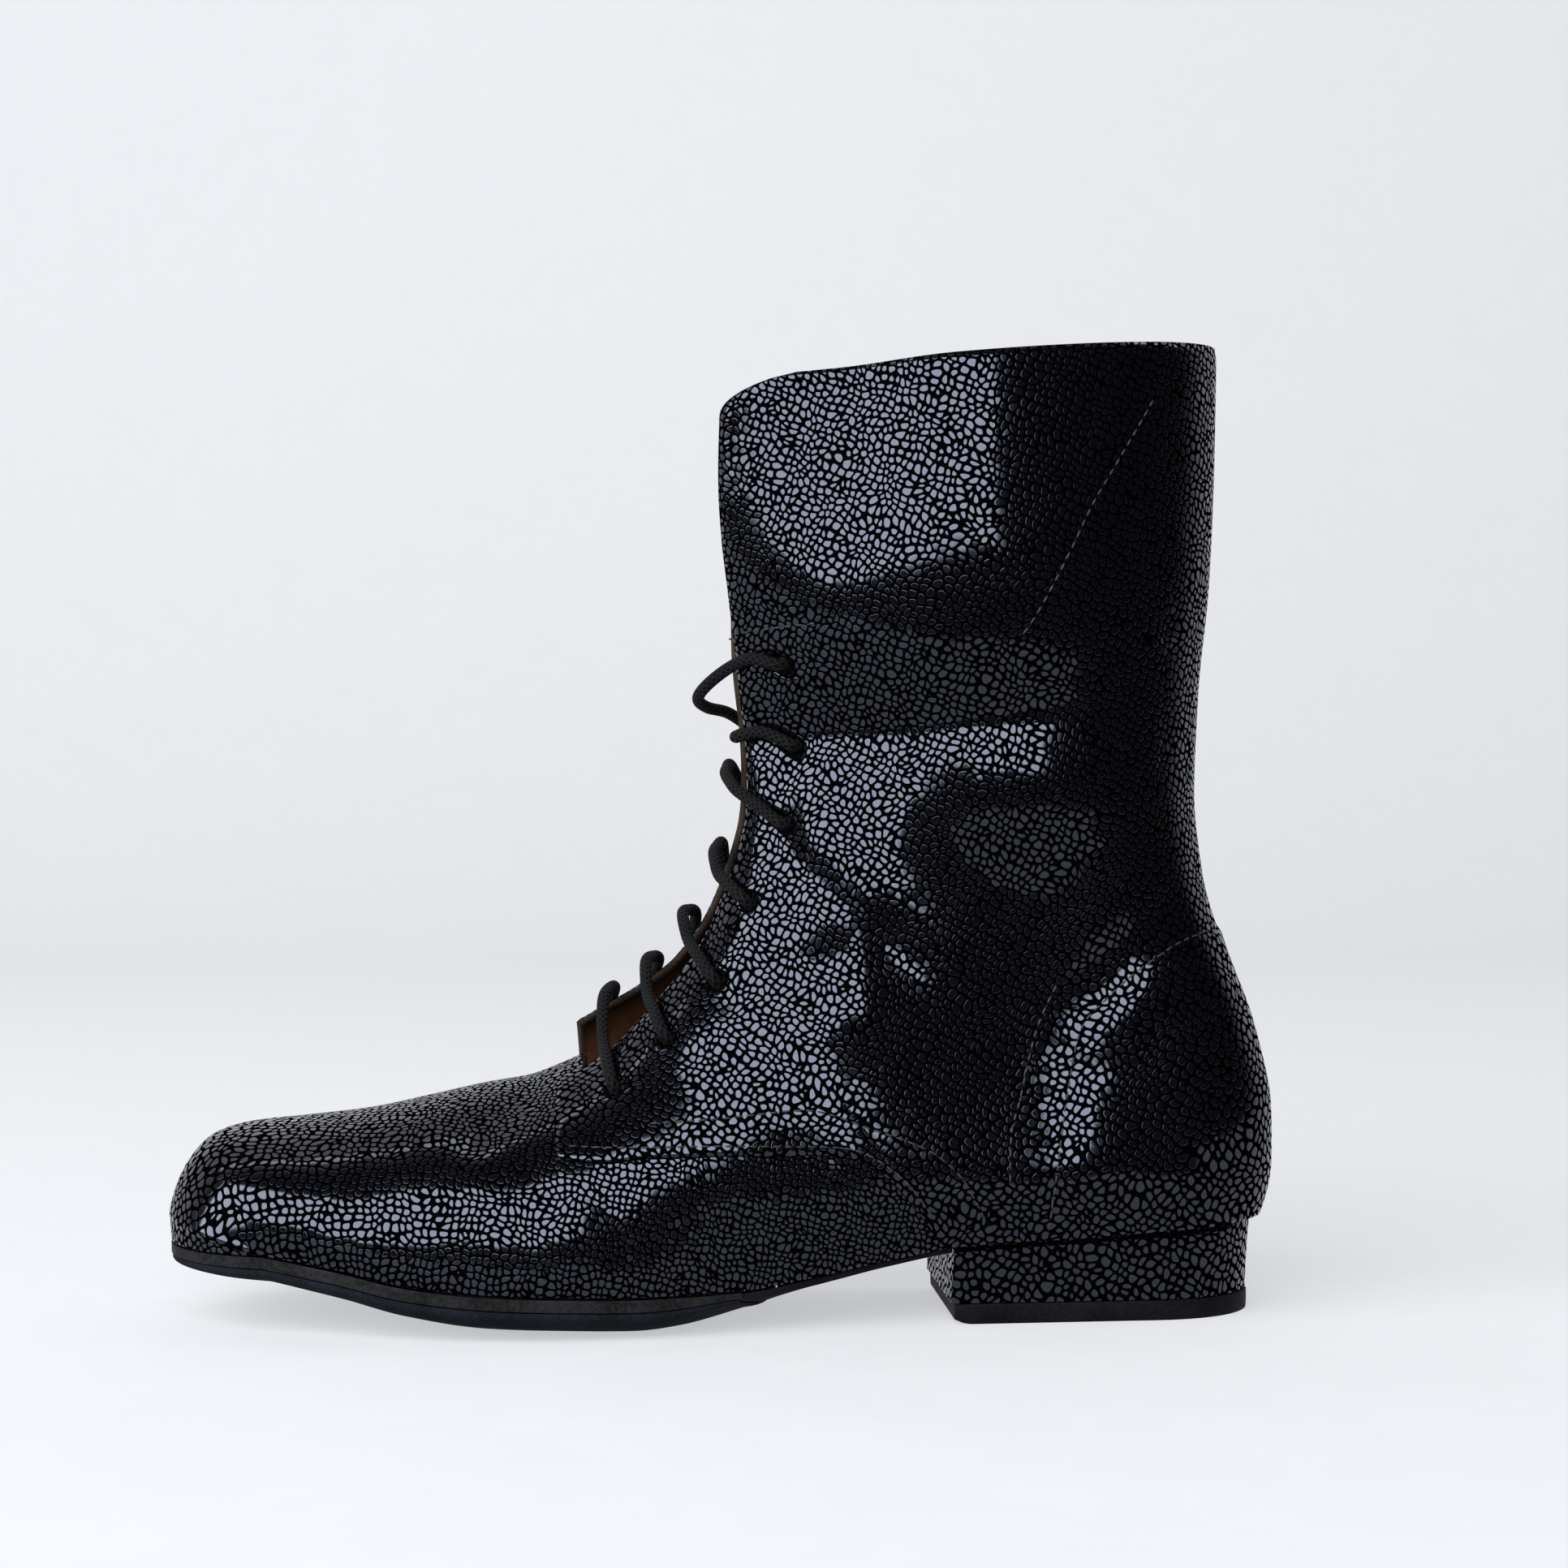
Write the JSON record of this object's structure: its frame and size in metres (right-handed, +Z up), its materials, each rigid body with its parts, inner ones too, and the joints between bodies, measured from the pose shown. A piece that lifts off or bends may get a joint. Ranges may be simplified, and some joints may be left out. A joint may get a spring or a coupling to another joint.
{
  "type": "lace-up dance boot",
  "caption": "Left mid-calf lace-up dance boot in grained black leather, open at collar and lacing gap, with a split suede sole and a leather-covered block heel.",
  "frame": {"origin": "middle of the box's bottom, on the floor plane under the heel and the forefoot", "axes": "+X from the toe to the heel, +Y to the inner side of the foot, +Z up"},
  "size_m": [0.2874, 0.0996, 0.252],
  "materials": {
    "grained_leather": "pebble grain with glossy flat tops and matt gaps",
    "insole_leather": "matt brown",
    "midsole_rubber": "satin, scuffed",
    "sole_suede": "napped suede",
    "heel_rubber": "matt",
    "lace_braid": "round braid"
  },
  "bodies": {
    "root": {"upper": "grained_leather", "insole": "insole_leather", "forefoot_midsole": "midsole_rubber", "forefoot_outsole": "sole_suede", "waist_cover": "sole_suede", "heel_block": "grained_leather", "heel_top_piece": "heel_rubber", "lace": "lace_braid"}
  },
  "joints": []
}
